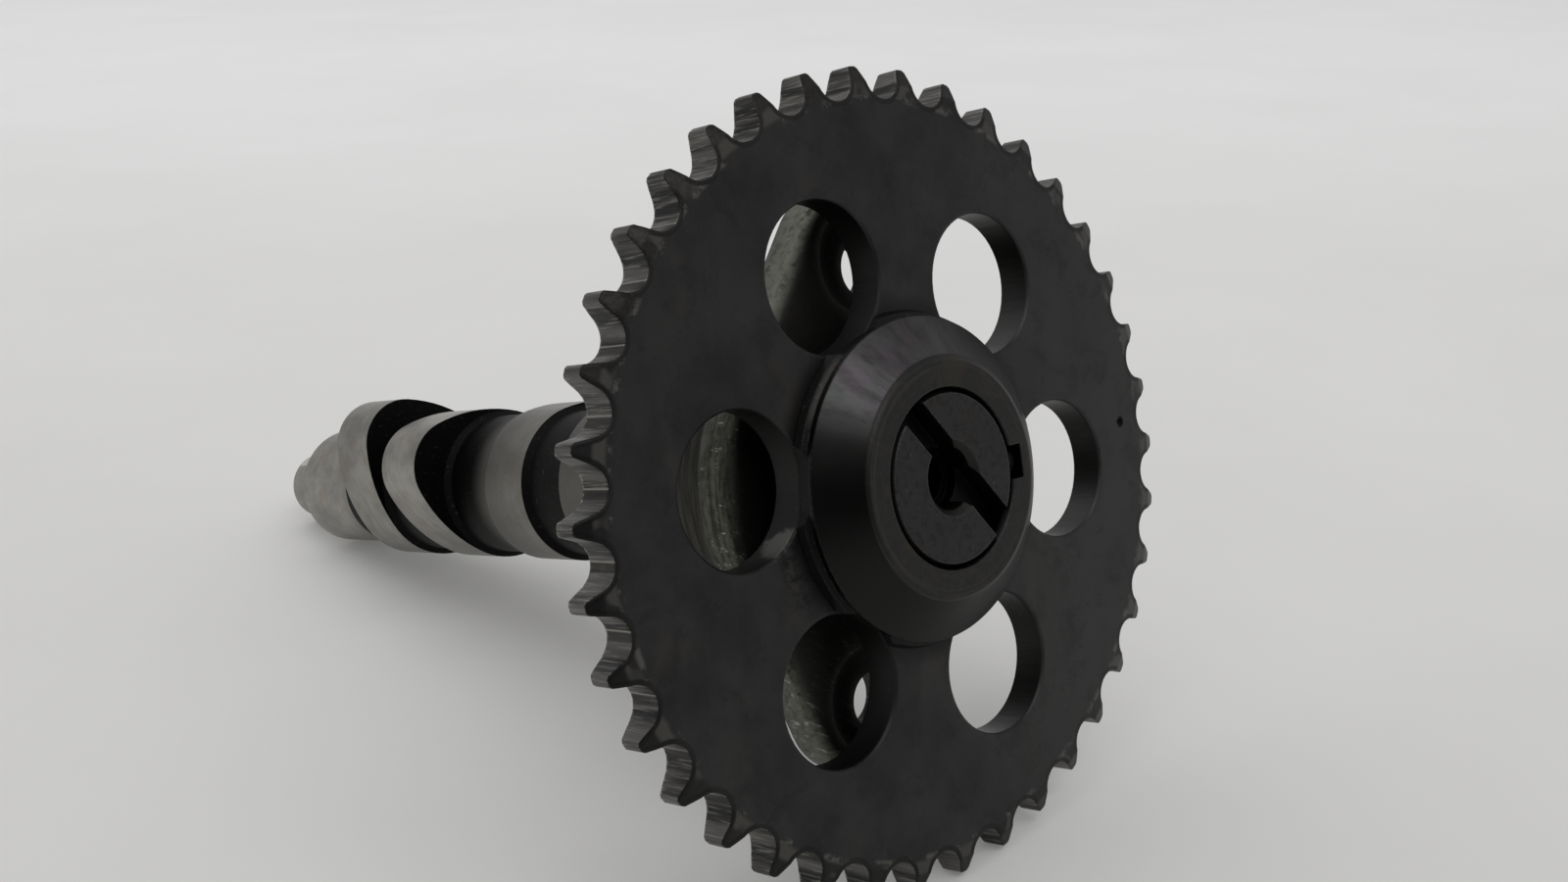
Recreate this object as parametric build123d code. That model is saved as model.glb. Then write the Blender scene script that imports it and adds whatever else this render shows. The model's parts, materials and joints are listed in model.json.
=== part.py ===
from build123d import *
from math import acos, atan2, cos, degrees, radians, sin, sqrt, tan
import os

# A camshaft with its timing chain sprocket and its captive bearing flange.
#
# Everything is drawn about the shaft's own axis: +Z leaves through the nose, Z = 0 is the front
# face of the sprocket plate, and angles run anticlockwise as seen from the nose. At the end the
# pieces are laid down together on the two teeth and the journal end that they rest on.
# All sizes are in millimetres and all angles in degrees.

# --- Chain and toothed rim -----------------------------------------------------------------
CHAIN_PITCH = 9.525
ROLLER_DIA = 6.35
TOOTH_COUNT = 38
TOOTH_STEP = 360 / TOOTH_COUNT
PITCH_RADIUS = CHAIN_PITCH / (2 * sin(radians(TOOTH_STEP / 2)))
SEAT_RADIUS = 0.505 * ROLLER_DIA
SEAT_ANGLE = 140 - 90 / TOOTH_COUNT
FLANK_RADIUS = 0.12 * ROLLER_DIA * (TOOTH_COUNT + 2)
TIP_RADIUS = 59.25
TIP_CORNER_BREAK = 0.3
FRONT_RELIEF_START = 54.6
REAR_RELIEF_START = 55.8
RELIEF_ARC_RADIUS = CHAIN_PITCH
FIRST_SEAT_ANGLE = -1.51
SEATS_TO_RESTING_GAP = 8

# --- Sprocket plate ------------------------------------------------------------------------
PLATE_THICKNESS = 5.3
PLATE_BORE_RADIUS = 19.0
HOLE_COUNT = 6
HOLE_RADIUS = 10.7
HOLE_CIRCLE_RADIUS = 32.9
HOLE_EDGE_BREAK = 0.3
DOT_RADIUS = 0.7
DOT_DEPTH = 0.5
DOT_CIRCLE_RADIUS = 49.7
DOT_ANGLE = 8.0

# --- Sprocket hub --------------------------------------------------------------------------
HUB_FACE_Z = 7.55
HUB_REAR_Z = -10.2
HUB_BORE_RADIUS = 12.5
HUB_BORE_BREAK = 0.5
HUB_FACE_RADIUS = 16.8
HUB_CORNER_RADIUS = 17.5
HUB_CORNER_Z = 7.2
HUB_LIP_RADIUS = 23.3
HUB_LIP_Z = 2.76
HUB_FLANK_RADIUS = 22.9
HUB_REAR_BREAK = 0.6
BEAD_INNER_RADIUS = 22.5
BEAD_CREST_RADII = (23.0, 23.9)
BEAD_CREST_Z = (1.7, 1.3)
BEAD_TOE_RADIUS = 24.35

# --- Key -----------------------------------------------------------------------------------
KEY_WIDTH = 5.0
KEY_HEIGHT = 5.0
KEY_LENGTH = 15.0
KEY_TOP_RADIUS = 14.6
KEY_FRONT_Z = HUB_FACE_Z - 1.2
KEY_ANGLE = 7.5
KEYWAY_RADIUS = 15.0

# --- Shaft ---------------------------------------------------------------------------------
NOSE_RADIUS = HUB_BORE_RADIUS
NOSE_EDGE_BREAK = 0.45
RING_DEPTH = 1.0
FRONT_JOURNAL_RADIUS = 17.5
COLLAR_FRONT_Z = -37.0
COLLAR_RADIUS = 20.5
COLLAR_WIDTH = 4.0
CORE_RADIUS = 13.0
REAR_JOURNAL_RADIUS = 12.0
REAR_JOURNAL_END_Z = -169.3
REAR_JOURNAL_BREAK = 1.0
UNDERCUT_DEPTH = 0.6
UNDERCUT_WIDTH = 2.5
TAIL_RADIUS = 7.0
TAIL_END_Z = -184.3
TAIL_BREAK = 0.8
EDGE_BREAK = 0.5

# --- Cam lobes: front face and nose direction, from front to rear ----------------------------
LOBES = [(-57.5, 52.0), (-80.9, 24.5), (-107.0, 162.0), (-130.1, 134.5)]
LOBE_WIDTH = 12.0
LOBE_BASE_RADIUS = 14.1
LOBE_LIFT = 6.57
LOBE_NOSE_RADIUS = 8.95
LOBE_FLANK_RADIUS = 29.3
LOBE_ROOT_CONE = 1.0

# --- Nose slot and centre holes --------------------------------------------------------------
SLOT_WIDTH = 4.6
SLOT_DEPTH = 3.75
SLOT_ANGLE = -42.5
SLOT_OFFSET = 1.7
NOSE_HOLE_RADIUS = 4.5
NOSE_HOLE_DEPTH = 5.5
NOSE_HOLE_BREAK = 1.0
NOSE_DRILL_RADIUS = 3.4
NOSE_DRILL_DEPTH = 22.0
DRILL_POINT_SLOPE = 31.0
TAIL_CENTRE_RADIUS = 3.0
TAIL_DRILL_RADIUS = 1.25
TAIL_DRILL_DEPTH = 6.0
CENTRE_SLOPE = 60.0

# --- Half-moon key slot in the tail ---------------------------------------------------------------
HALF_MOON_WIDTH = 3.0
HALF_MOON_CUTTER_RADIUS = 6.5
HALF_MOON_DEPTH = 3.8
HALF_MOON_Z = -177.3
HALF_MOON_ANGLE = 127.0

# --- Bearing flange --------------------------------------------------------------------------
FLANGE_FRONT_Z = -10.5
FLANGE_THICKNESS = 6.5
FLANGE_RADIUS = 26.5
EAR_RADIUS = 11.0
EAR_CIRCLE_RADIUS = 32.65
EAR_ANGLE = 88.9
FLANGE_EDGE_BREAK = 1.1
EAR_RECESS_RADIUS = 7.75
EAR_RECESS_DEPTH = 0.5
BOLT_HOLE_RADIUS = 4.3
BOLT_CIRCLE_RADIUS = 32.25
BOLT_CIRCLE_CENTRE = (1.35, -0.75)
PILOT_RADIUS = 24.0
PILOT_END_Z = -36.7
RUNNING_CLEARANCE = 0.03


def polar(radius, angle):
    """A point in the XY plane at this radius and angle."""
    return Vector(radius * cos(radians(angle)), radius * sin(radians(angle)))


def turned(*points):
    """Solid of revolution about the shaft axis, from (radius, z) corners."""
    return revolve(Plane.XZ * make_face(Polyline(*points, close=True)), Axis.Z)


def tooth_flank(seat_angle, side):
    """Ends and middle of the flank arc beside one roller seat; side is 1 anticlockwise, -1 clockwise."""
    roller = polar(PITCH_RADIUS, seat_angle)
    away = seat_angle + 180 - side * SEAT_ANGLE / 2
    foot = roller + polar(SEAT_RADIUS, away)
    centre = roller + polar(SEAT_RADIUS + FLANK_RADIUS, away)
    reach = centre.length
    spread = acos((reach**2 + TIP_RADIUS**2 - FLANK_RADIUS**2) / (2 * reach * TIP_RADIUS))
    tip = polar(TIP_RADIUS, degrees(atan2(centre.Y, centre.X)) - side * degrees(spread))
    chord = (foot + tip) / 2 - centre
    return foot, centre + chord * (FLANK_RADIUS / chord.length), tip


def toothed_outline():
    """Face bounded by all the roller seats, tooth flanks and tips."""
    edges = []
    for tooth in range(TOOTH_COUNT):
        seat_angle = FIRST_SEAT_ANGLE + tooth * TOOTH_STEP
        near_foot, near_middle, near_tip = tooth_flank(seat_angle, -1)
        far_foot, far_middle, far_tip = tooth_flank(seat_angle, 1)
        next_tip = tooth_flank(seat_angle + TOOTH_STEP, -1)[2]
        edges.append(ThreePointArc(near_tip, near_middle, near_foot))
        edges.append(ThreePointArc(near_foot, polar(PITCH_RADIUS - SEAT_RADIUS, seat_angle), far_foot))
        edges.append(ThreePointArc(far_foot, far_middle, far_tip))
        edges.append(ThreePointArc(far_tip, polar(TIP_RADIUS, seat_angle + TOOTH_STEP / 2), next_tip))
    outline = make_face(Wire(edges))
    corners = [corner for corner in outline.vertices() if Vector(corner).length > TIP_RADIUS - 0.01]
    return chamfer(corners, TIP_CORNER_BREAK)


def relief_fall(start_radius, radius):
    """How far a side relief that begins at start_radius has fallen below its face at this radius."""
    return RELIEF_ARC_RADIUS - sqrt(RELIEF_ARC_RADIUS**2 - (radius - start_radius) ** 2)


def plate_blank():
    """Turned disc whose rim thins towards the tooth tips: two cones along an arc in front, one behind."""
    middle = (FRONT_RELIEF_START + TIP_RADIUS) / 2
    return turned(
        (PLATE_BORE_RADIUS, 0),
        (FRONT_RELIEF_START, 0),
        (middle, -relief_fall(FRONT_RELIEF_START, middle)),
        (TIP_RADIUS, -relief_fall(FRONT_RELIEF_START, TIP_RADIUS)),
        (TIP_RADIUS, relief_fall(REAR_RELIEF_START, TIP_RADIUS) - PLATE_THICKNESS),
        (REAR_RELIEF_START, -PLATE_THICKNESS),
        (PLATE_BORE_RADIUS, -PLATE_THICKNESS),
    )


def lightening_holes(radius):
    """Six cylinders of this radius, long enough to pass through the plate and the bead."""
    return PolarLocations(HOLE_CIRCLE_RADIUS, HOLE_COUNT) * Cylinder(radius, 4 * PLATE_THICKNESS)


def sprocket_plate():
    """Toothed disc with six holes, chamfered in front only, and a punched timing dot."""
    teeth = extrude(toothed_outline(), -PLATE_THICKNESS)
    plate = plate_blank() & teeth
    for hole in lightening_holes(HOLE_RADIUS):
        plate -= hole
    front_circles = plate.faces().filter_by(Axis.Z).sort_by(Axis.Z)[-1].edges().filter_by(GeomType.CIRCLE)
    rims = [circle for circle in front_circles if abs(circle.radius - HOLE_RADIUS) < 0.01]
    plate = chamfer(rims, HOLE_EDGE_BREAK)
    dot = turned((0, -DOT_DEPTH), (DOT_RADIUS, 0), (DOT_RADIUS, 1), (0, 1))
    return plate - Pos(polar(DOT_CIRCLE_RADIUS, DOT_ANGLE)) * dot


def key_solid():
    """Round-ended parallel key in its place: flat underside in the shaft, top towards the hub."""
    blank = extrude(SlotOverall(KEY_LENGTH, KEY_WIDTH), KEY_HEIGHT)
    middle = (KEY_TOP_RADIUS - KEY_HEIGHT, 0, KEY_FRONT_Z - KEY_LENGTH / 2)
    bed = Plane(middle, x_dir=(0, 0, 1), z_dir=(1, 0, 0))
    return Rot(Z=KEY_ANGLE) * (bed * blank)


def weld_bead():
    """Convex bead in the corner of plate and hub, missing wherever a lightening hole opens."""
    crest = zip(BEAD_CREST_RADII, BEAD_CREST_Z)
    bead = turned((BEAD_INNER_RADIUS, 0), (BEAD_INNER_RADIUS, BEAD_CREST_Z[0]), *crest, (BEAD_TOE_RADIUS, 0))
    for hole in lightening_holes(HOLE_RADIUS):
        bead -= hole
    return bead


def sprocket_hub():
    """Coned hub with a spigot through the plate, a bead round its foot and a full-length keyway."""
    body = turned(
        (0, HUB_FACE_Z),
        (HUB_FACE_RADIUS, HUB_FACE_Z),
        (HUB_CORNER_RADIUS, HUB_CORNER_Z),
        (HUB_LIP_RADIUS, HUB_LIP_Z),
        (HUB_FLANK_RADIUS, 0),
        (PLATE_BORE_RADIUS, 0),
        (PLATE_BORE_RADIUS, HUB_REAR_Z + HUB_REAR_BREAK),
        (PLATE_BORE_RADIUS - HUB_REAR_BREAK, HUB_REAR_Z),
        (0, HUB_REAR_Z),
    )
    bore = turned(
        (0, HUB_FACE_Z),
        (HUB_BORE_RADIUS + HUB_BORE_BREAK, HUB_FACE_Z),
        (HUB_BORE_RADIUS, HUB_FACE_Z - RING_DEPTH),
        (HUB_BORE_RADIUS, HUB_REAR_Z),
        (0, HUB_REAR_Z),
    )
    keyway = Pos(KEYWAY_RADIUS / 2, 0, 0) * Box(KEYWAY_RADIUS, KEY_WIDTH, 4 * HUB_FACE_Z)
    return (body + weld_bead()) - bore - Rot(Z=KEY_ANGLE) * keyway


def lobe_outline():
    """Three-arc cam face with its nose along +X: base circle, two convex flanks and a nose arc."""
    nose_centre = LOBE_BASE_RADIUS + LOBE_LIFT - LOBE_NOSE_RADIUS
    base_reach = LOBE_FLANK_RADIUS - LOBE_BASE_RADIUS
    nose_reach = LOBE_FLANK_RADIUS - LOBE_NOSE_RADIUS
    flank_x = (base_reach**2 - nose_reach**2 + nose_centre**2) / (2 * nose_centre)
    flank_y = -sqrt(base_reach**2 - flank_x**2)
    flank_centre = Vector(flank_x, flank_y)
    to_nose = (Vector(nose_centre, 0) - flank_centre).normalized()
    to_base = (-flank_centre).normalized()
    nose_end = flank_centre + to_nose * LOBE_FLANK_RADIUS
    base_end = flank_centre + to_base * LOBE_FLANK_RADIUS
    flank_middle = flank_centre + (to_nose + to_base).normalized() * LOBE_FLANK_RADIUS

    def below(point):
        return Vector(point.X, -point.Y)

    return make_face(Wire([
        ThreePointArc(below(nose_end), (nose_centre + LOBE_NOSE_RADIUS, 0), nose_end),
        ThreePointArc(nose_end, flank_middle, base_end),
        ThreePointArc(base_end, (-LOBE_BASE_RADIUS, 0), below(base_end)),
        ThreePointArc(below(base_end), below(flank_middle), below(nose_end)),
    ]))


def cam_lobe(front_z, nose_angle):
    """One cam lobe, its front face at this height."""
    return Pos(0, 0, front_z) * Rot(Z=nose_angle) * extrude(lobe_outline(), -LOBE_WIDTH)


def root_cone(face_z, side):
    """Short cone that eases the core into a lobe's side face; side 1 lies in front of the face."""
    foot = face_z + side * LOBE_ROOT_CONE
    return turned((0, foot), (CORE_RADIUS, foot), (CORE_RADIUS + LOBE_ROOT_CONE, face_z), (0, face_z))


def shaft_blank():
    """Turned shaft: nose, front journal, collar, core, rear journal with its undercut, and tail."""
    collar_rear = COLLAR_FRONT_Z - COLLAR_WIDTH
    core_end = LOBES[-1][0] - LOBE_WIDTH
    undercut_radius = REAR_JOURNAL_RADIUS - UNDERCUT_DEPTH
    undercut_end = core_end - UNDERCUT_WIDTH
    return turned(
        (0, HUB_FACE_Z),
        (NOSE_RADIUS - NOSE_EDGE_BREAK, HUB_FACE_Z),
        (NOSE_RADIUS, HUB_FACE_Z - RING_DEPTH),
        (NOSE_RADIUS, HUB_REAR_Z),
        (FRONT_JOURNAL_RADIUS - EDGE_BREAK, HUB_REAR_Z),
        (FRONT_JOURNAL_RADIUS, HUB_REAR_Z - EDGE_BREAK),
        (FRONT_JOURNAL_RADIUS, COLLAR_FRONT_Z),
        (COLLAR_RADIUS, COLLAR_FRONT_Z),
        (COLLAR_RADIUS, collar_rear),
        (CORE_RADIUS, collar_rear),
        (CORE_RADIUS, core_end),
        (undercut_radius, core_end),
        (undercut_radius, undercut_end + UNDERCUT_DEPTH),
        (REAR_JOURNAL_RADIUS, undercut_end),
        (REAR_JOURNAL_RADIUS, REAR_JOURNAL_END_Z + REAR_JOURNAL_BREAK),
        (REAR_JOURNAL_RADIUS - REAR_JOURNAL_BREAK, REAR_JOURNAL_END_Z),
        (TAIL_RADIUS, REAR_JOURNAL_END_Z),
        (TAIL_RADIUS, TAIL_END_Z + TAIL_BREAK),
        (TAIL_RADIUS - TAIL_BREAK, TAIL_END_Z),
        (0, TAIL_END_Z),
    )


def nose_slot():
    """Driving slot across the nose face, a little to one side of the shaft's centre."""
    slot = Box(4 * NOSE_RADIUS, SLOT_WIDTH, 2 * SLOT_DEPTH)
    return Pos(0, 0, HUB_FACE_Z) * Rot(Z=SLOT_ANGLE) * Pos(0, SLOT_OFFSET, 0) * slot


def nose_hole():
    """Countersunk hole in the nose that steps down to a drilled one."""
    drill_end = HUB_FACE_Z - NOSE_DRILL_DEPTH
    return turned(
        (0, HUB_FACE_Z),
        (NOSE_HOLE_RADIUS + NOSE_HOLE_BREAK, HUB_FACE_Z),
        (NOSE_HOLE_RADIUS, HUB_FACE_Z - NOSE_HOLE_BREAK),
        (NOSE_HOLE_RADIUS, HUB_FACE_Z - NOSE_HOLE_DEPTH),
        (NOSE_DRILL_RADIUS, HUB_FACE_Z - NOSE_HOLE_DEPTH),
        (NOSE_DRILL_RADIUS, drill_end),
        (0, drill_end - NOSE_DRILL_RADIUS * tan(radians(DRILL_POINT_SLOPE))),
    )


def tail_centre():
    """Sixty-degree centre with its pilot drilling in the tail end."""
    cone_depth = (TAIL_CENTRE_RADIUS - TAIL_DRILL_RADIUS) * tan(radians(CENTRE_SLOPE))
    return turned(
        (0, TAIL_END_Z),
        (TAIL_CENTRE_RADIUS, TAIL_END_Z),
        (TAIL_DRILL_RADIUS, TAIL_END_Z + cone_depth),
        (TAIL_DRILL_RADIUS, TAIL_END_Z + TAIL_DRILL_DEPTH),
        (0, TAIL_END_Z + TAIL_DRILL_DEPTH),
    )


def half_moon_slot():
    """Half-moon key slot cut into the tail by a small disc cutter."""
    centre_radius = TAIL_RADIUS - HALF_MOON_DEPTH + HALF_MOON_CUTTER_RADIUS
    cutter = Rot(X=90) * Cylinder(HALF_MOON_CUTTER_RADIUS, HALF_MOON_WIDTH)
    return Rot(Z=HALF_MOON_ANGLE) * Pos(centre_radius, 0, HALF_MOON_Z) * cutter


def camshaft():
    """The one-piece shaft with its four lobes."""
    shaft = shaft_blank()
    for front_z, nose_angle in LOBES:
        shaft += cam_lobe(front_z, nose_angle)
        shaft += root_cone(front_z, 1)
    for front_z, nose_angle in LOBES[:-1]:
        shaft += root_cone(front_z - LOBE_WIDTH, -1)
    return shaft - nose_slot() - nose_hole() - tail_centre() - half_moon_slot() - key_solid()


def flange_outline():
    """Round middle with two opposite ears, joined by straight tangents."""
    rounds = Circle(FLANGE_RADIUS).edges()
    for angle in (EAR_ANGLE, EAR_ANGLE + 180):
        rounds += (Pos(polar(EAR_CIRCLE_RADIUS, angle)) * Circle(EAR_RADIUS)).edges()
    return make_hull(rounds)


def bearing_flange():
    """Two-eared flange with a round pilot behind it, free to turn on the front journal."""
    flange = extrude(Pos(0, 0, FLANGE_FRONT_Z) * flange_outline(), -FLANGE_THICKNESS)
    flange = chamfer(flange.faces().sort_by(Axis.Z)[-1].edges(), FLANGE_EDGE_BREAK)
    rear = FLANGE_FRONT_Z - FLANGE_THICKNESS
    flange += turned(
        (0, rear),
        (PILOT_RADIUS, rear),
        (PILOT_RADIUS, PILOT_END_Z + 2 * EDGE_BREAK),
        (PILOT_RADIUS - EDGE_BREAK, PILOT_END_Z),
        (0, PILOT_END_Z),
    )
    bore_radius = FRONT_JOURNAL_RADIUS + RUNNING_CLEARANCE
    flange -= turned(
        (0, FLANGE_FRONT_Z),
        (bore_radius + EDGE_BREAK, FLANGE_FRONT_Z),
        (bore_radius, FLANGE_FRONT_Z - EDGE_BREAK),
        (bore_radius, PILOT_END_Z + EDGE_BREAK),
        (bore_radius + EDGE_BREAK, PILOT_END_Z),
        (0, PILOT_END_Z),
    )
    for recess in PolarLocations(EAR_CIRCLE_RADIUS, 2, EAR_ANGLE):
        flange -= Pos(0, 0, FLANGE_FRONT_Z) * recess * Cylinder(EAR_RECESS_RADIUS, 2 * EAR_RECESS_DEPTH)
    for bolt in PolarLocations(BOLT_CIRCLE_RADIUS, 2, EAR_ANGLE):
        flange -= Pos(*BOLT_CIRCLE_CENTRE, rear) * bolt * Cylinder(BOLT_HOLE_RADIUS, 4 * FLANGE_THICKNESS)
    return flange


def laid_down(pieces):
    """Where the shaft frame goes so that the pieces lie on two teeth and the rear journal's end."""
    tooth_radius = TIP_RADIUS * cos(radians(TOOTH_STEP / 2))
    tooth_z = relief_fall(REAR_RELIEF_START, TIP_RADIUS) - PLATE_THICKNESS
    journal_z = REAR_JOURNAL_END_Z + REAR_JOURNAL_BREAK
    tilt = atan2(tooth_radius - REAR_JOURNAL_RADIUS, tooth_z - journal_z)
    lowest_gap_angle = FIRST_SEAT_ANGLE - SEATS_TO_RESTING_GAP * TOOTH_STEP
    lean = Plane((0, 0, 0), x_dir=(1, 0, 0), z_dir=(0, -cos(tilt), sin(tilt))).location
    turn = lean * Rot(Z=-90 - lowest_gap_angle)
    box = Compound([turn * piece for piece in pieces]).bounding_box()
    return Pos(-box.center().X, -box.center().Y, -box.min.Z) * turn


pieces = {
    "camshaft": camshaft(),
    "sprocket_plate": sprocket_plate(),
    "sprocket_hub": sprocket_hub(),
    "sprocket_key": key_solid(),
    "bearing_flange": bearing_flange(),
}
resting_place = laid_down(pieces.values())
os.makedirs("parts", exist_ok=True)
for name, piece in pieces.items():
    export_step(resting_place * piece, f"parts/{name}.step")
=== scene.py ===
import json
import math

import bpy
from mathutils import Matrix, Vector

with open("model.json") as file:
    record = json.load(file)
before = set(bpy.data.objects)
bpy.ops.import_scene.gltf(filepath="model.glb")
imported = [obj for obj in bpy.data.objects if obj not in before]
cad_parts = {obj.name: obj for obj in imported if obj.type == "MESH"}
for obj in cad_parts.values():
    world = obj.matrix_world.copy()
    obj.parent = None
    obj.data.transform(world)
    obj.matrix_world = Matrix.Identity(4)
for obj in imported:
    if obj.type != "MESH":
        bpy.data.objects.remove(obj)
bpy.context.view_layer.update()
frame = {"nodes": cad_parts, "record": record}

# --- Where the shaft lies ----------------------------------------------------------------------
# Finishes are laid out about the shaft's own axis: z in millimetres from the front face of the
# sprocket plate, positive towards the nose, and angles anticlockwise as seen from the nose end.
MM = 0.001
PLATE_THICKNESS = 5.3
SHAFT_CLOCK = math.radians(12.7)
mounts = {mount["name"]: mount for mount in frame["record"]["mounts"]}
NOSE = Vector(mounts["chain_teeth"]["axis"])
ORIGIN = Vector(mounts["chain_teeth"]["pos_m"]) + NOSE * (PLATE_THICKNESS / 2 * MM)
LEVEL = Vector((1, 0, 0))
UPRIGHT = NOSE.cross(LEVEL)
ACROSS = LEVEL * math.cos(SHAFT_CLOCK) - UPRIGHT * math.sin(SHAFT_CLOCK)
UP = LEVEL * math.sin(SHAFT_CLOCK) + UPRIGHT * math.cos(SHAFT_CLOCK)

# --- Stations on the sprocket plate, in millimetres ----------------------------------------------
TOOTH_ROOT = 54.5
RELIEF_START = 54.6
# Where a finish starts and where it is full: along the shaft, across it, or outwards from a centre.
FRONT_HALF = (-3.2, -2.4)
REAR_EDGE = (-3.4, -4.2)
LIT_SIDE_ACROSS = (-10.0, 50.0)
SHADED_HOLES = (8.0, -6.0)
BESIDE_HUB = (27.5, 24.4)
DOT_EDGE = (1.25, 1.0)
CHIP_EDGE = (5.0, 4.0)
# Rings, from radius to radius.
OIL_RING = (24.8, 29.0)
RUB_LINE = (54.1, 54.9)
RUBBED_FACETS = (54.9, 56.8)
# Places (across, up, along), and the side of the axis on which the oil lies (across, up).
TIMING_DOT = (49.3, 6.85)
CHIP = (-24.4, -8.6, -1.8)
OIL_SIDE = (-0.94, -0.34)

# --- Chain teeth: seats and flanks, in radians and millimetres -----------------------------------
# The flank's centre and foot are measured from the seat's centre: across it, and outwards.
TEETH = 38
TOOTH_STEP = math.tau / TEETH
FIRST_SEAT = math.radians(-1.51)
STEPS_AHEAD = 100  # whole steps added, so that the count round the plate is never below zero
PITCH_RADIUS = 57.67
SEAT_RADIUS = 3.21
FLANK_RADIUS = 30.48
FLANK_CENTRE = (31.41, -12.17)
FLANK_FOOT = -1.16

# --- Stations on the hub and its bead ------------------------------------------------------------
HUB_FACE = 7.55
HUB_CORNER = 17.5
HUB_LIP = 23.3
LATHE_MARKS_START = 15.6
# Where a finish starts and where it is full, outwards from the axis or along it.
HUB_BORE_EDGE = (12.6, 12.9)
HUB_BORE_WALL = (12.95, 12.6)
BEAD_TOP = (2.1, 1.7)
BEAD_INNER_EDGE = (22.4, 22.9)
BEAD_FOOT = (-1.0, 0.0)
# The bead's crest, where a highlight is painted: its ring, and the side of the axis on which the
# painted highlight lies (across, up).
BEAD_CREST = (23.2, 23.7)
HIGHLIGHT_SIDE = (-0.82, 0.57)

# --- Stations along the shaft --------------------------------------------------------------------
NOSE_FACE = 7.55
SLOT_DEPTHS = (2.5, 7.4)
SHOULDER = -10.2
PILOT_START = -17.0
COLLAR_REAR = -41.0
LOBE_FRONTS = (-57.5, -80.9, -107.0, -130.1)
LOBE_WIDTH = 12.0
SECOND_LOBE_REAR = LOBE_FRONTS[1] - LOBE_WIDTH
JOURNAL_START = -149.4

# --- Bearing flange: one ear's recess (across, up) and its edge, and where the ears' flanks are ---
EAR_HOLE = (0.63, 32.64)
EAR_RECESS_EDGE = (8.0, 7.4)
EAR_FLANKS = (12.0, 25.0)

# --- Camera --------------------------------------------------------------------------------------
CAMERA_PLACE = (-0.16814, -0.22664, 0.14720)
CAMERA_HEADING = 44.367
CAMERA_PITCH = -20.594
CAMERA_ROLL = -0.670
CAMERA_CLEARANCE = 0.01
FOCAL_PIXELS = 1688.6
PICTURE_WIDTH = 1600
SENSOR_WIDTH = 36.0

# --- Studio, in metres and watts -----------------------------------------------------------------
FLOOR_HALF = 6.0
FLOOR_DEPTH = (0.70, 0.71, 0.0)  # a direction: level, and away from the camera
SOFTBOX_PLACE, SOFTBOX_AIM = (-0.12, -0.83, 1.15), (0, -0.05, 0.05)
SOFTBOX_SIZE, SOFTBOX_POWER = (0.9, 0.7), 4.0
CEILING_PLACE, CEILING_AIM = (-0.3, 0.9, 2.2), (0, 0.2, 0)
CEILING_SIZE, CEILING_POWER = (2.6, 2.2), 14.0
CARD_HALF, CARD_FOOT, CARD_TOP = 0.30, 0.02, 0.36
CARD_PLACE = (-0.26, -0.53, 0)
CARD_TURN = math.radians(-28)
ROOM_COLOUR = (1.0, 0.985, 0.985, 1.0)
ROOM_LIGHT = 0.50

# --- Colours of the sprocket plate, as linear red, green and blue --------------------------------
OXIDE_DEEP = (0.028, 0.0272, 0.028)
OXIDE_THIN = (0.043, 0.0422, 0.0425)
OXIDE_SMEARED = (0.051, 0.048, 0.044)
OXIDE_LIT_SIDE = (0.055, 0.0555, 0.0555)
OXIDE_SMUDGED = (0.021, 0.0208, 0.0215)
OXIDE_GRAIN = (0.070, 0.070, 0.066)
DOT_BLACK = (0.004, 0.004, 0.004)
HUB_SHADE = (0.013, 0.013, 0.013)
OIL_BLACK = (0.012, 0.012, 0.012)
ROLLED_EDGE_SHADE = (0.012, 0.0115, 0.011)
RELIEF_DARK = (0.014, 0.013, 0.012)
RELIEF_LIT = (0.055, 0.054, 0.046)
RUBBED_LINE = (0.115, 0.114, 0.104)
RUBBED_FACET = (0.088, 0.087, 0.079)
TOOTH_DARK = (0.030, 0.029, 0.030)
TOOTH_WORN = (0.120, 0.117, 0.112)
TOOTH_STREAK = (0.23, 0.226, 0.205)
SEAT_DARK = (0.030, 0.029, 0.028)
SEAT_BRIGHT = (0.33, 0.32, 0.29)
HOLE_DARK = (0.025, 0.025, 0.026)
HOLE_LIGHT = (0.070, 0.069, 0.067)
HOLE_SHADE = (0.012, 0.012, 0.012)
HOLE_CEILING_SHADE = (0.012, 0.0118, 0.011)
CHIPPED = (0.125, 0.13, 0.118)
SCORED = (0.13, 0.13, 0.12)
BURR_BRIGHT = (0.42, 0.41, 0.38)

# --- Colours of the hub --------------------------------------------------------------------------
HUB_DEEP = (0.008, 0.008, 0.008)
HUB_THIN = (0.015, 0.015, 0.0145)
HUB_UNDERSIDE_LIT = (0.021, 0.0205, 0.020)
PURPLE_TINT_HIGHLIGHT = (0.084, 0.075, 0.083)
TEAL_TINT_HIGHLIGHT = (0.076, 0.080, 0.077)
RING_DARK = (0.027, 0.027, 0.027)
RING_LIGHT = (0.041, 0.0405, 0.040)
FACE_SPOTS = (0.024, 0.0235, 0.023)
FACE_BRONZE = (0.050, 0.045, 0.034)
LATHE_BRIGHT = (0.062, 0.061, 0.057)
BEAD_DARK = (0.014, 0.014, 0.014)
BEAD_SPATTER_AND_HIGHLIGHT = (0.090, 0.088, 0.079)
BORE_SHADE = (0.006, 0.006, 0.006)
HUB_WORN = (0.11, 0.107, 0.10)

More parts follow.
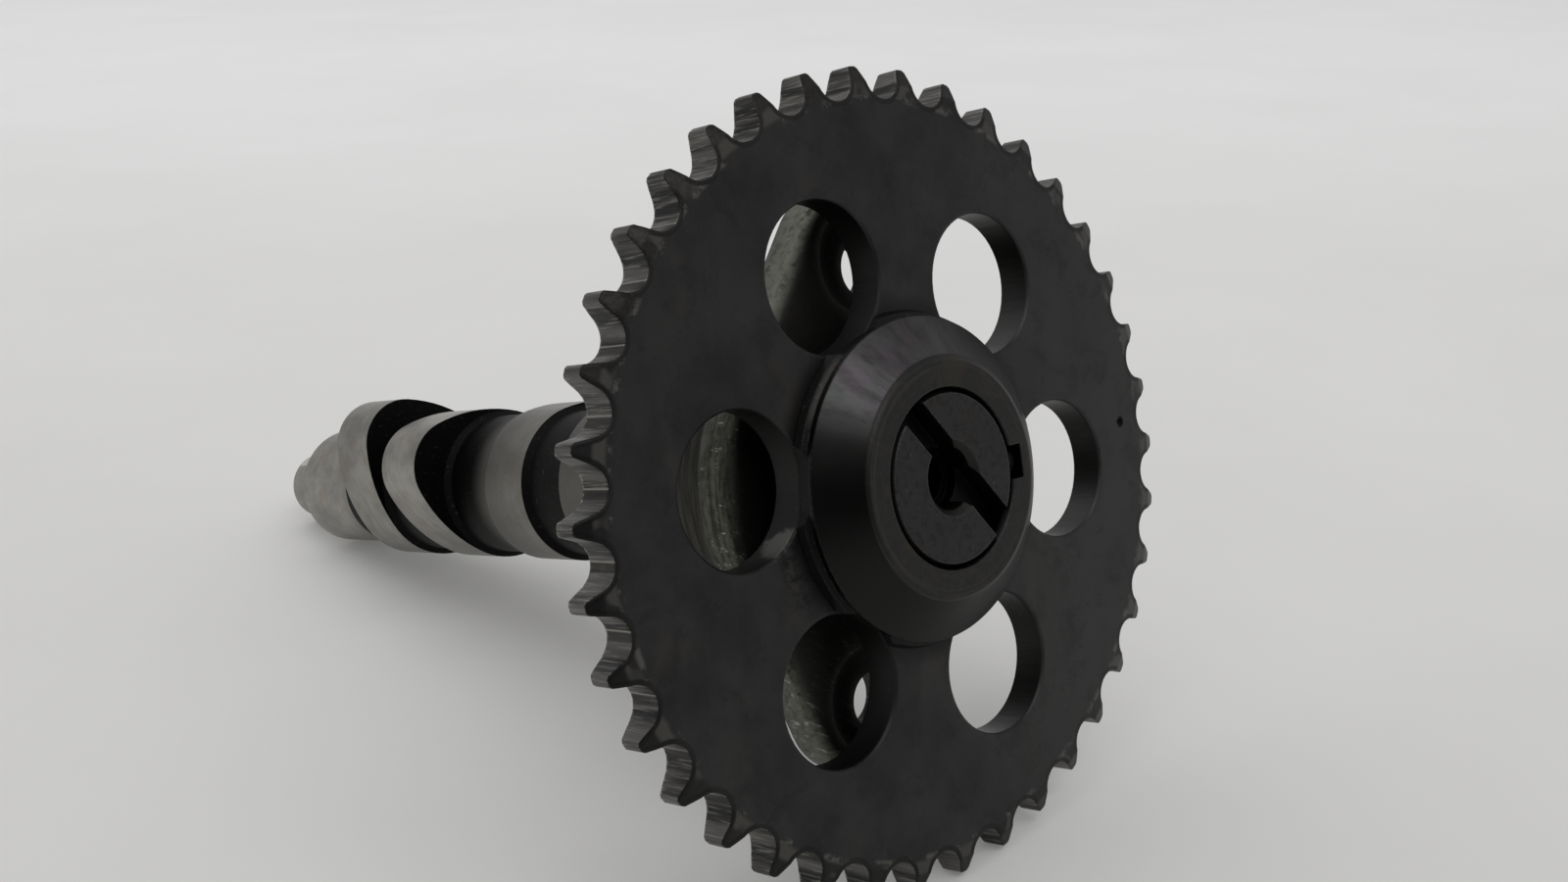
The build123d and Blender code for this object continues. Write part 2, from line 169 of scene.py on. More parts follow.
# --- Colours of the shaft ------------------------------------------------------------------------
IRON_DARK = (0.215, 0.212, 0.196)
IRON_LIGHT = (0.345, 0.332, 0.300)
IRON_LINES = (0.155, 0.151, 0.139)
IRON_STAIN = (0.245, 0.200, 0.165)
IRON_SHADE = (0.078, 0.077, 0.071)
PHOSPHATE_DEEP = (0.0045, 0.0045, 0.0048)
PHOSPHATE_THIN = (0.012, 0.0118, 0.0115)
PHOSPHATE_SPECK = (0.085, 0.083, 0.077)
CORE_BRIGHT_BAND = (0.14, 0.137, 0.128)
NOSE_DARK = (0.034, 0.033, 0.034)
NOSE_LIGHT = (0.046, 0.045, 0.045)
NOSE_STAIN = (0.040, 0.031, 0.028)
NOSE_PITS = (0.021, 0.0205, 0.020)
NOSE_NICKS = (0.12, 0.12, 0.11)
SLOT_SHADE_DEEP = (0.006, 0.006, 0.006)
SLOT_SHADE_SHALLOW = (0.030, 0.0295, 0.027)
SHAFT_WORN = (0.20, 0.196, 0.18)

# --- Colours of the key --------------------------------------------------------------------------
KEY_DARK = (0.010, 0.010, 0.0098)
KEY_LIGHT = (0.026, 0.0255, 0.024)
KEY_SPECKS = (0.06, 0.058, 0.053)

# --- Colours of the bearing flange ---------------------------------------------------------------
CAST_DARK = (0.030, 0.029, 0.027)
CAST_LIGHT = (0.055, 0.054, 0.049)
EDGE_DARK = (0.026, 0.0265, 0.021)
EDGE_LIGHT = (0.092, 0.094, 0.076)
EAR_FLANK_LIT = (0.175, 0.177, 0.150)
MACHINED_FACE_SHADE = (0.030, 0.030, 0.028)
SCRATCH_BRIGHT = (0.36, 0.36, 0.33)
PILOT_DARK = (0.013, 0.0128, 0.011)
PILOT_LIGHT = (0.050, 0.048, 0.040)
RECESS_SHADE = (0.008, 0.008, 0.0075)

# --- Colours of the studio -----------------------------------------------------------------------
FLOOR_NEAR = (0.60, 0.60, 0.585)
FLOOR_FAR = (0.76, 0.765, 0.77)
GLOW_NONE = (0, 0, 0)
GLOW_NEAR = (0.07, 0.07, 0.066)
GLOW_FAR = (0.20, 0.20, 0.20)
FELT_DARK = (0.008, 0.008, 0.008)
FELT_LIGHT = (0.014, 0.014, 0.014)


class Wire:
    """An output socket that takes Python arithmetic; every operation adds its Math node."""

    def __init__(self, paint, socket):
        self.paint = paint
        self.socket = socket

    def math(self, operation, *others):
        return self.paint.node("ShaderNodeMath", {"operation": operation}, (self, *others))

    def __add__(self, other):
        return self.math("ADD", other)

    def __sub__(self, other):
        return self.math("SUBTRACT", other)

    def __mul__(self, other):
        return self.math("MULTIPLY", other)

    def __truediv__(self, other):
        return self.math("DIVIDE", other)

    def __pow__(self, other):
        return self.math("POWER", other)

    def __rsub__(self, other):
        return self.paint.node("ShaderNodeMath", {"operation": "SUBTRACT"}, (other, self))

    def __rtruediv__(self, other):
        return self.paint.node("ShaderNodeMath", {"operation": "DIVIDE"}, (other, self))

    def __abs__(self):
        return self.math("ABSOLUTE")

    __radd__ = __add__
    __rmul__ = __mul__


class Paint:
    """One material's node tree."""

    def __init__(self, name):
        self.material = bpy.data.materials.new(name)
        self.material.use_nodes = True
        self.tree = self.material.node_tree
        self.tree.nodes.clear()

    def node(self, kind, settings=None, inputs=(), output=0):
        """Adds a node: settings first, then its sockets by place or name. Returns one output."""
        made = self.tree.nodes.new(kind)
        for name, value in (settings or {}).items():
            setattr(made, name, value)
        for key, value in inputs.items() if isinstance(inputs, dict) else enumerate(inputs):
            if isinstance(value, Wire):
                self.tree.links.new(value.socket, made.inputs[key])
            else:
                made.inputs[key].default_value = value
        return Wire(self, made.outputs[output]) if made.outputs else None

    def vector(self, operation, *inputs, output=0):
        return self.node("ShaderNodeVectorMath", {"operation": operation}, inputs, output)

    def dot(self, vector, direction):
        return self.vector("DOT_PRODUCT", vector, tuple(direction), output=1)

    def point(self, x, y, z):
        return self.node("ShaderNodeCombineXYZ", None, (x, y, z))

    def rise(self, value, start, end):
        """0 below start, 1 above end, smooth between; start above end turns it round."""
        smooth = {"interpolation_type": "SMOOTHSTEP"}
        return self.node("ShaderNodeMapRange", smooth, (value, start, end, 0.0, 1.0))

    def band(self, value, low, high, soft):
        """1 between low and high, fading over soft on both sides."""
        return self.rise(value, low - soft, low + soft) * self.rise(value, high + soft, high - soft)

    def noise(self, vector, scale, detail=3.0, roughness=0.5, distortion=0.0):
        """Cloudy noise around 0.5; scale is in waves per unit of the coordinates."""
        sockets = {"Vector": vector, "Scale": scale, "Detail": detail}
        sockets.update({"Roughness": roughness, "Distortion": distortion})
        return self.node("ShaderNodeTexNoise", None, sockets)

    def mix(self, factor, low, high):
        """Colour mix; the colours are (r, g, b) or wires."""
        low, high = [c if isinstance(c, Wire) else (*c, 1.0) for c in (low, high)]
        inputs = {0: factor, 6: low, 7: high}
        return self.node("ShaderNodeMix", {"data_type": "RGBA"}, inputs, output=2)

    def over(self, under, colour, where, amount=None):
        """Lays a colour over another where a mask is 1, and no more of it than this amount."""
        return self.mix(where if amount is None else where * amount, under, colour)

    def bump(self, height, depth, normal=None):
        """Normal bent by a height map; a height of 1 stands for this many millimetres."""
        sockets = {"Height": height, "Distance": depth * MM, "Strength": 1.0}
        if normal:
            sockets["Normal"] = normal
        return self.node("ShaderNodeBump", None, sockets)

    def true_normal(self):
        return self.node("ShaderNodeNewGeometry", output="Normal")

    def finish(self, colour, roughness, normal, metallic, **constants):
        """The principled shader and the output."""
        sockets = {"Base Color": colour, "Roughness": roughness}
        sockets.update({"Metallic": metallic, "Normal": normal})
        sockets.update({name.replace("_", " "): value for name, value in constants.items()})
        shader = self.node("ShaderNodeBsdfPrincipled", None, sockets)
        self.node("ShaderNodeOutputMaterial", None, {"Surface": shader})
        return self.material


class ShaftPlace:
    """Where a surface point is on the shaft, in millimetres, and which way the surface faces."""

    def __init__(self, paint):
        here = paint.node("ShaderNodeTexCoord", output="Object")
        offset = paint.vector("SUBTRACT", here, tuple(ORIGIN))
        self.x = paint.dot(offset, ACROSS / MM)
        self.y = paint.dot(offset, UP / MM)
        self.z = paint.dot(offset, NOSE / MM)
        self.radius = (self.x * self.x + self.y * self.y) ** 0.5
        self.cosine = self.x / self.radius
        self.sine = self.y / self.radius
        self.point = paint.point(self.x, self.y, self.z)
        normal = paint.node("ShaderNodeTexCoord", output="Normal")
        self.facing = paint.dot(normal, NOSE)
        # 1 on faces square to the axis, 0 on walls that run along it.
        self.flat = paint.rise(abs(self.facing), 0.35, 0.65)

    def turned(self, paint, along, round_about):
        """Coordinates for lathe marks: fine along radius and length, stretched round the axis."""
        cut = (self.radius + self.z) * along
        return paint.point(self.cosine * round_about, self.sine * round_about, cut)

    def hooped(self, paint, round_about, along):
        """Coordinates for marks that run round a drum, the same at every radius."""
        return paint.point(self.cosine * round_about, self.sine * round_about, self.z * along)

    def towards(self, side):
        """1 on the ray from the axis that runs to this side (across, up), less away from it."""
        return self.cosine * side[0] + self.sine * side[1]


def rounded_edges(paint, width):
    """Normal that turns evenly round sharp edges, over this many millimetres."""
    return paint.node("ShaderNodeBevel", {"samples": 6}, {"Radius": width * MM})


def edge_wear(paint, rounded):
    """1 where that rounded normal leaves the true one, as on a sharp edge."""
    agreement = paint.vector("DOT_PRODUCT", rounded, paint.true_normal(), output=1)
    return paint.rise(agreement, 0.995, 0.90)


class Rim:
    """Where a point of the plate is beside its nearest roller seat, in millimetres."""

    def __init__(self, at):
        steps = (at.y.math("ARCTAN2", at.x) - FIRST_SEAT) / TOOTH_STEP
        turn = ((steps + (STEPS_AHEAD + 0.5)).math("FRACT") - 0.5) * TOOTH_STEP
        self.across = at.radius * turn.math("SINE")
        self.out = at.radius * turn.math("COSINE") - PITCH_RADIUS
        seat = (self.across * self.across + self.out * self.out) ** 0.5 - SEAT_RADIUS
        flank_across = abs(self.across) - FLANK_CENTRE[0]
        flank_out = self.out - FLANK_CENTRE[1]
        flank = FLANK_RADIUS - (flank_across * flank_across + flank_out * flank_out) ** 0.5
        # How far in from the outline: from the seat's arc at the root, from the flank further out.
        self.inside = seat.math("MINIMUM", flank.math("MAXIMUM", FLANK_FOOT - self.out))


class Plate:
    """The sprocket plate's regions and the noises that its finishes share."""

    def __init__(self, paint, at):
        self.rim = Rim(at)
        wall = 1 - at.flat
        self.tooth_wall = wall * paint.rise(at.radius, TOOTH_ROOT - 1.0, TOOTH_ROOT - 0.4)
        self.hole_wall = wall - self.tooth_wall
        self.front = paint.rise(at.z, *FRONT_HALF)
        self.relief = at.flat * paint.rise(at.radius, RELIEF_START, RELIEF_START + 1.0)
        self.clouds = paint.noise(at.point, scale=0.07, detail=4.0, roughness=0.6)
        drawn = paint.point(at.x * 0.10, at.y * 0.03, at.z * 0.1)
        self.smears = paint.noise(drawn, scale=1.0, detail=4.0, roughness=0.6, distortion=0.6)
        self.grain = paint.noise(at.point, scale=1.8, detail=4.0, roughness=0.7)
        through = paint.point(at.x, at.y, at.z * 0.05)
        self.broad = paint.noise(through, scale=0.42, detail=3.0, roughness=0.6)
        self.fine = paint.noise(through, scale=3.2, detail=4.0, roughness=0.65)


def oxide_coat(paint, at, plate):
    """Matt black coat of the faces: cloudy, smeared, painted lighter on one side as lit, with
    painted shade beside the hub.
    """
    smudge = paint.noise(at.point, scale=0.16, detail=6.0, roughness=0.72, distortion=0.4)
    coat = paint.mix(paint.rise(plate.clouds, 0.30, 0.70), OXIDE_DEEP, OXIDE_THIN)
    coat = paint.over(coat, OXIDE_SMEARED, paint.rise(plate.smears, 0.50, 0.78))
    # Painted light: the coat is laid lighter towards the right of the plate, where more light
    # falls.
    coat = paint.over(coat, OXIDE_LIT_SIDE, paint.rise(at.x, *LIT_SIDE_ACROSS), amount=0.55)
    coat = paint.over(coat, OXIDE_SMUDGED, paint.rise(smudge, 0.48, 0.66), amount=0.45)
    coat = paint.over(coat, OXIDE_GRAIN, paint.rise(plate.grain, 0.58, 0.70), amount=0.25)
    from_dot = ((at.x - TIMING_DOT[0]) ** 2 + (at.y - TIMING_DOT[1]) ** 2) ** 0.5
    coat = paint.over(coat, DOT_BLACK, paint.rise(from_dot + plate.grain * 0.4, *DOT_EDGE))
    coat = paint.over(coat, HUB_SHADE, paint.rise(at.radius, *BESIDE_HUB), amount=0.65)
    oily = paint.band(at.radius, *OIL_RING, 1.0) * paint.rise(at.towards(OIL_SIDE), 0.93, 0.98)
    blotches = paint.noise(at.point, scale=0.55, detail=5.0, roughness=0.75)
    oily = oily * paint.rise(blotches, 0.46, 0.58)
    return paint.over(coat, OIL_BLACK, oily, amount=0.75)


def rubbed_rim(paint, at, plate, coat):
    """The same coat near the teeth: painted shade on the rolled edges, dark relief with a painted
    lit patch, rubbed by the chain's links.
    """
    inside = plate.rim.inside
    # Painted shade: a dark band on the front face along the rolled edge of the tooth outline.
    rolled_edge_shade = at.flat * plate.front * paint.rise(inside, 0.95, 0.55)
    coat = paint.over(coat, ROLLED_EDGE_SHADE, rolled_edge_shade, amount=0.45)
    coat = paint.over(coat, RELIEF_DARK, plate.relief, amount=0.45)
    lit = plate.relief * paint.rise(at.sine - at.cosine * 0.6, 0.7, 1.1) * 0.45
    coat = paint.over(coat, RELIEF_LIT, lit * paint.rise(plate.grain, 0.35, 0.70))
    line = paint.band(at.radius, *RUB_LINE, 0.35) * paint.rise(inside, 0.45, 0.8)
    line = line * at.flat * plate.front
    broken = paint.noise(at.point, scale=0.28, detail=4.0, roughness=0.7)
    line = line * paint.rise(broken, 0.50, 0.60)
    coat = paint.over(coat, RUBBED_LINE, line, amount=0.85)
    facet = paint.band(at.radius, *RUBBED_FACETS, 0.4) * paint.rise(inside, 0.5, 0.9)
    facet = facet * at.flat * plate.front
    scattered = paint.noise(at.point, scale=0.11, detail=2.0, roughness=0.5)
    facet = facet * paint.rise(scattered, 0.46, 0.52)
    return paint.over(coat, RUBBED_FACET, facet, amount=0.75)


def worn_teeth(paint, plate):
    """Tooth walls: streaked grey through the plate, with a dark and a bright line in each seat."""
    rim = plate.rim
    teeth = paint.mix(paint.rise(plate.broad, 0.38, 0.60), TOOTH_DARK, TOOTH_WORN)
    teeth = paint.over(teeth, TOOTH_STREAK, paint.rise(plate.fine, 0.50, 0.66), amount=0.75)
    in_seat = paint.rise(rim.out, -0.6, -1.6) * paint.rise(plate.clouds, 0.30, 0.50)
    dark = paint.band(rim.across, 0.15, 1.3, 0.12) * in_seat
    teeth = paint.over(teeth, SEAT_DARK, dark, amount=0.75)
    bright = paint.band(rim.across, -0.15, 0.05, 0.10) * in_seat
    return paint.over(teeth, SEAT_BRIGHT, bright, amount=0.8)


def hole_walls(paint, at, plate):
    """Walls of the lightening holes: painted shade on the left and overhead, with one bare chip."""
    hole = paint.mix(plate.fine, HOLE_DARK, HOLE_LIGHT)
    # Painted shade: the walls of the holes on the left side are laid darker.
    hole = paint.over(hole, HOLE_SHADE, paint.rise(at.x, *SHADED_HOLES), amount=0.65)
    chip = ((at.x - CHIP[0]) ** 2 + (at.y - CHIP[1]) ** 2 + (at.z - CHIP[2]) ** 2) ** 0.5
    chip = chip + paint.noise(at.point, scale=0.6, detail=4.0, roughness=0.6) * 3.0
    # Painted shade: hole walls that face downwards are laid darker, away from the light overhead.
    ceiling = paint.dot(paint.true_normal(), -UP)
    hole = paint.over(hole, HOLE_CEILING_SHADE, paint.rise(ceiling, 0.1, 0.8), amount=0.75)
    hole = paint.over(hole, CHIPPED, paint.rise(chip, *CHIP_EDGE), amount=0.8)
    slanted = paint.point(at.x, at.y * 0.3, at.z * 0.6)
    scored = paint.rise(paint.noise(slanted, scale=1.3, detail=5.0, roughness=0.8), 0.64, 0.70)
    return paint.over(hole, SCORED, scored, amount=0.5)


def black_oxide():
    """Sprocket plate: matt black faces, teeth rubbed grey by the chain, hole walls with painted
    shade.
    """
    paint = Paint("black_oxide_plate")
    at = ShaftPlace(paint)
    plate = Plate(paint, at)
    face = rubbed_rim(paint, at, plate, oxide_coat(paint, at, plate))
    colour = paint.mix(plate.tooth_wall, face, worn_teeth(paint, plate))
    colour = paint.mix(plate.hole_wall, colour, hole_walls(paint, at, plate))
    rounded = rounded_edges(paint, width=0.7)
    burr = edge_wear(paint, rounded) * paint.rise(at.z, *REAR_EDGE) * plate.tooth_wall
    colour = paint.over(colour, BURR_BRIGHT, burr * paint.rise(plate.grain, 0.50, 0.60))
    roughness = 0.37 + plate.clouds * 0.08 + paint.rise(plate.smears, 0.45, 0.8) * 0.05
    roughness = roughness + plate.tooth_wall * (plate.fine * 0.12 - 0.05)
    sides = {0: plate.front, 4: paint.true_normal(), 5: rounded}
    soft = paint.node("ShaderNodeMix", {"data_type": "VECTOR"}, sides, output=1)
    height = plate.grain * (0.5 + plate.relief)
    height = height + (plate.fine + plate.broad * 0.6) * plate.tooth_wall * 1.3
    normal = paint.bump(height, depth=0.02, normal=paint.vector("NORMALIZE", soft))
    return paint.finish(colour, roughness, normal, metallic=0.92, Specular_IOR_Level=0.4)


def cone_tint_and_highlight(paint, at, clouds, patches, tint_and_highlight):
    """Turned black steel of the hub, painted lighter underneath, with heat tint and a painted
    highlight on the upper left of its cone.
    """
    steel = paint.mix(clouds, HUB_DEEP, HUB_THIN)
    # Painted light: the lower side of the cone is laid lighter, as it mirrors the floor.
    steel = paint.over(steel, HUB_UNDERSIDE_LIT, paint.rise(at.sine, 0.1, -0.9))
    # Painted highlight: the purple and teal heat tint, laid bright on the upper left of the cone.
    sheen = paint.mix(paint.rise(patches, 0.38, 0.62), PURPLE_TINT_HIGHLIGHT, TEAL_TINT_HIGHLIGHT)
    drawn_out = at.turned(paint, along=0.5, round_about=5.0)
    drawn_out = paint.noise(drawn_out, scale=1.0, detail=4.0, roughness=0.7)
    return paint.mix(tint_and_highlight * paint.rise(drawn_out, 0.90, 0.30), steel, sheen)


def turned_face(paint, rings, spatter, patches):
    """Hub's front face: fine turned rings, spotted and bronzed in patches."""
    ringed = paint.mix(rings, RING_DARK, RING_LIGHT)
    ringed = paint.over(ringed, FACE_SPOTS, paint.rise(spatter, 0.46, 0.62), amount=0.5)
    return paint.over(ringed, FACE_BRONZE, paint.rise(patches, 0.45, 0.70), amount=0.6)


def brazed_bead(paint, at, spatter, upper_left):
    """Rough dark bead between hub and plate, spattered, with a painted highlight on its crest and
    on its spatter towards the upper left.
    """
    # Painted highlight: bright spatter on the bead, more of it on the upper left.
    bright = paint.rise(spatter, 0.60, 0.70) * (0.15 + upper_left * 0.35)
    # Painted highlight along the bead's crest, on one side of the axis.
    crest_highlight = paint.rise(at.towards(HIGHLIGHT_SIDE), 0.955, 0.995)
    bright = bright + crest_highlight * paint.band(at.radius, *BEAD_CREST, 0.3) * 0.5
    return paint.mix(bright, BEAD_DARK, BEAD_SPATTER_AND_HIGHLIGHT)


def tinted_hub():
    """Sprocket hub: turned black steel, teal and purple with heat and a painted highlight on the
    cone, and its bead.
    """
    paint = Paint("heat_tinted_hub")
    at = ShaftPlace(paint)
    rings = at.turned(paint, along=4.5, round_about=0.8)
    rings = paint.noise(rings, scale=1.0, detail=2.0, roughness=0.55)
    clouds = paint.noise(at.point, scale=0.11, detail=4.0, roughness=0.6)
    patches = paint.noise(at.point, scale=0.20, detail=3.0, roughness=0.65, distortion=0.8)
    grain = paint.noise(at.point, scale=2.2, detail=4.0, roughness=0.7)
    spatter = paint.noise(at.point, scale=0.9, detail=5.0, roughness=0.75)
    bead = paint.rise(at.z, *BEAD_TOP) * paint.rise(at.radius, *BEAD_INNER_EDGE)
    bead = bead * paint.rise(at.z, *BEAD_FOOT)
    cone = paint.band(at.radius, HUB_CORNER, HUB_LIP, 0.2) * (1 - bead)
    face = paint.rise(at.z, HUB_FACE - 0.4, HUB_FACE - 0.2) * paint.rise(at.radius, *HUB_BORE_EDGE)
    # Painted highlight: the upper left of the cone and of the bead, where highlights are laid.
    upper_left = paint.rise(at.sine * 0.90 - at.cosine * 0.42, 0.62, 0.98)
    colour = cone_tint_and_highlight(paint, at, clouds, patches, cone * upper_left)
    colour = paint.mix(face, colour, turned_face(paint, rings, spatter, patches))
    lathe = face * paint.band(at.radius, LATHE_MARKS_START, HUB_CORNER, 0.3)
    lathe = lathe * paint.rise(rings, 0.48, 0.60)
    colour = paint.over(colour, LATHE_BRIGHT, lathe, amount=0.35)
    colour = paint.mix(bead, colour, brazed_bead(paint, at, spatter, upper_left))
    # Painted shade: the bore wall, in the narrow gap round the shaft's nose, is laid black.
    bore = paint.rise(at.radius, *HUB_BORE_WALL)
    colour = paint.over(colour, BORE_SHADE, bore)
    rounded = rounded_edges(paint, width=0.3)
    worn = edge_wear(paint, rounded) * paint.rise(grain, 0.45, 0.65) * (1 - bore)
    colour = paint.over(colour, HUB_WORN, worn, amount=0.5)
    roughness = 0.33 + clouds * 0.10 + bead * 0.06
    height = rings * (1 - bead) * 0.5 + grain * (0.25 + bead * 1.2) + spatter * bead * 2.0
    normal = paint.bump(height, depth=0.03, normal=rounded)
    return paint.finish(colour, roughness, normal, metallic=0.95, Specular_IOR_Level=0.4)


def ground_places(paint, at, wall):
    """1 where the shaft is ground: rear journal, lobes' rims, collar and front journal."""
    ground = paint.rise(at.z, JOURNAL_START + 0.1, JOURNAL_START - 0.1)
    for front in LOBE_FRONTS:
        ground = ground + paint.band(at.z, front - LOBE_WIDTH, front, 0.1) * wall
    ground = ground + paint.band(at.z, COLLAR_REAR, SHOULDER, 0.05)
    return ground.math("MINIMUM", 1.0)


def ground_iron(paint, at, clouds, lines, stain):
    """Ground iron with lathe lines and stains, with painted shade towards the sprocket and round
    the last lobe's rear.
    """
    iron = paint.mix(paint.rise(clouds, 0.35, 0.65), IRON_DARK, IRON_LIGHT)
    iron = paint.over(iron, IRON_LINES, paint.rise(lines, 0.48, 0.70), amount=0.40)
    iron = paint.over(iron, IRON_STAIN, paint.rise(stain, 0.52, 0.70), amount=0.55)
    # Painted shade: the ground iron is laid darker towards the sprocket, in the disc's shadow.
    shade_near_sprocket = paint.rise(at.z, SECOND_LOBE_REAR - 3.0, SECOND_LOBE_REAR + 0.5)
    second_lobe = paint.rise(at.z, SECOND_LOBE_REAR + LOBE_WIDTH, SECOND_LOBE_REAR)
    shade_near_sprocket = shade_near_sprocket * (0.45 + second_lobe * 0.4)
    shade_near_sprocket = shade_near_sprocket + paint.rise(at.z, SECOND_LOBE_REAR + 14.0, SECOND_LOBE_REAR + 20.0) * 0.4
    # Painted shade in the corner between the last lobe's rear and the journal.
    last_rear_shade = paint.band(at.z, JOURNAL_START - 3.0, LOBE_FRONTS[-1] - 5.0, 3.0)
    return paint.over(iron, IRON_SHADE, shade_near_sprocket + last_rear_shade * 0.22)


def phosphated_core(paint, at, wall, grain):
    """Black core and lobe sides with bright specks, and a brighter band just behind the second
    lobe.
    """
    coat = paint.mix(grain, PHOSPHATE_DEEP, PHOSPHATE_THIN)
    specks = paint.rise(paint.noise(at.point, scale=1.3, detail=4.0, roughness=0.75), 0.60, 0.72)
    coat = paint.over(coat, PHOSPHATE_SPECK, specks, amount=0.8)
    # A brighter band painted on the core just behind the second lobe.
    bright_band = paint.rise(at.z, SECOND_LOBE_REAR - 7.0, SECOND_LOBE_REAR)
    bright_band = bright_band * paint.rise(at.z, SECOND_LOBE_REAR + 1, SECOND_LOBE_REAR) * wall
    return paint.over(coat, CORE_BRIGHT_BAND, bright_band, amount=0.95)


def oxide_nose(paint, at, clouds, stain, sunk):
    """Nose of the shaft: stained, pitted and nicked black, with painted shade deepening down its
    slot.
    """
    oxide = paint.mix(clouds, NOSE_DARK, NOSE_LIGHT)
    oxide = paint.over(oxide, NOSE_STAIN, paint.rise(stain, 0.55, 0.70), amount=0.6)
    pitted = paint.noise(at.point, scale=0.9, detail=5.0, roughness=0.75)
    oxide = paint.over(oxide, NOSE_PITS, paint.rise(pitted, 0.48, 0.62), amount=0.6)
    nicks = paint.rise(paint.noise(at.point, scale=0.65, detail=3.0, roughness=0.6), 0.70, 0.73)
    oxide = paint.over(oxide, NOSE_NICKS, nicks, amount=0.6)
    # Painted shade: the slot and centre hole are laid darker the deeper they go.
    return paint.mix(sunk, oxide, paint.mix(paint.rise(at.z, *SLOT_DEPTHS), SLOT_SHADE_DEEP, SLOT_SHADE_SHALLOW))


def shaft_iron():
    """Camshaft: black phosphated core, ground lobes and journals, oxide-black nose."""
    paint = Paint("camshaft_iron")
    at = ShaftPlace(paint)
    clouds = paint.noise(at.point, scale=0.12, detail=4.0, roughness=0.6)
    grain = paint.noise(at.point, scale=2.4, detail=5.0, roughness=0.7)
    lines = at.turned(paint, along=1.3, round_about=0.7)
    lines = paint.noise(lines, scale=1.0, detail=3.0, roughness=0.65)
    fine = at.turned(paint, along=9.0, round_about=2.0)
    fine = paint.noise(fine, scale=1.0, detail=2.0, roughness=0.5)
    stain = paint.noise(at.point, scale=0.16, detail=4.0, roughness=0.6, distortion=0.5)
    wall = 1 - at.flat
    ground = ground_places(paint, at, wall)
    nose = paint.rise(at.z, SHOULDER, SHOULDER + 0.2)
    sunk = paint.rise(at.z, NOSE_FACE - 0.12, NOSE_FACE - 0.35)
    iron = ground_iron(paint, at, clouds, lines, stain)
    colour = paint.mix(ground, phosphated_core(paint, at, wall, grain), iron)
    colour = paint.mix(nose, colour, oxide_nose(paint, at, clouds, stain, sunk))
    bare = ground * (1 - nose)
    rounded = rounded_edges(paint, width=0.35)
    worn = edge_wear(paint, rounded) * paint.rise(grain, 0.42, 0.60) * (1 - sunk)
    colour = paint.over(colour, SHAFT_WORN, worn, amount=0.35)
    coarse_to_ground = paint.node("ShaderNodeMapRange", None, (bare, 0.0, 1.0, 0.50, 0.28))
    roughness = coarse_to_ground + clouds * 0.08 - nose * 0.10
    height = grain * (1 - bare) * (1.4 - nose) + fine * bare * 0.3 + lines * bare * 0.3
    normal = paint.bump(height, depth=0.03, normal=rounded)
    return paint.finish(colour, roughness, normal, metallic=0.97, Specular_IOR_Level=0.4)


def drawn_steel():
    """Key: plain dark drawn steel with lengthwise drawing lines."""
    paint = Paint("drawn_key_steel")
    at = ShaftPlace(paint)
    lines = paint.noise(paint.point(at.x, at.y, at.z * 0.08), scale=4.0, detail=3.0, roughness=0.6)
    grain = paint.noise(at.point, scale=2.5, detail=3.0, roughness=0.6)
    colour = paint.mix(lines, KEY_DARK, KEY_LIGHT)
    colour = paint.over(colour, KEY_SPECKS, paint.rise(grain, 0.6, 0.75), amount=0.4)
    normal = paint.bump(lines, depth=0.01)
    return paint.finish(colour, 0.42 + lines * 0.1, normal, metallic=0.9, Specular_IOR_Level=0.4)


def cast_edge(paint, at, mottle):
    """Rounded outer edge of the flange: streaked round it, with painted light on the ears' flanks.
    """
    hoops = at.hooped(paint, round_about=3.0, along=1.2)
    hoops = paint.noise(hoops, scale=1.0, detail=5.0, roughness=0.75)
    streaks = paint.rise(mottle * 0.35 + hoops * 0.65, 0.40, 0.60)
    edge = paint.mix(streaks, EDGE_DARK, EDGE_LIGHT)
    # Painted light: the ears' outer flanks are laid lighter, as lit through the sprocket's holes.
    ear_flank = paint.rise(abs(at.y), *EAR_FLANKS)
    return paint.over(edge, EAR_FLANK_LIT, ear_flank * paint.rise(mottle, 0.25, 0.55), amount=0.75)


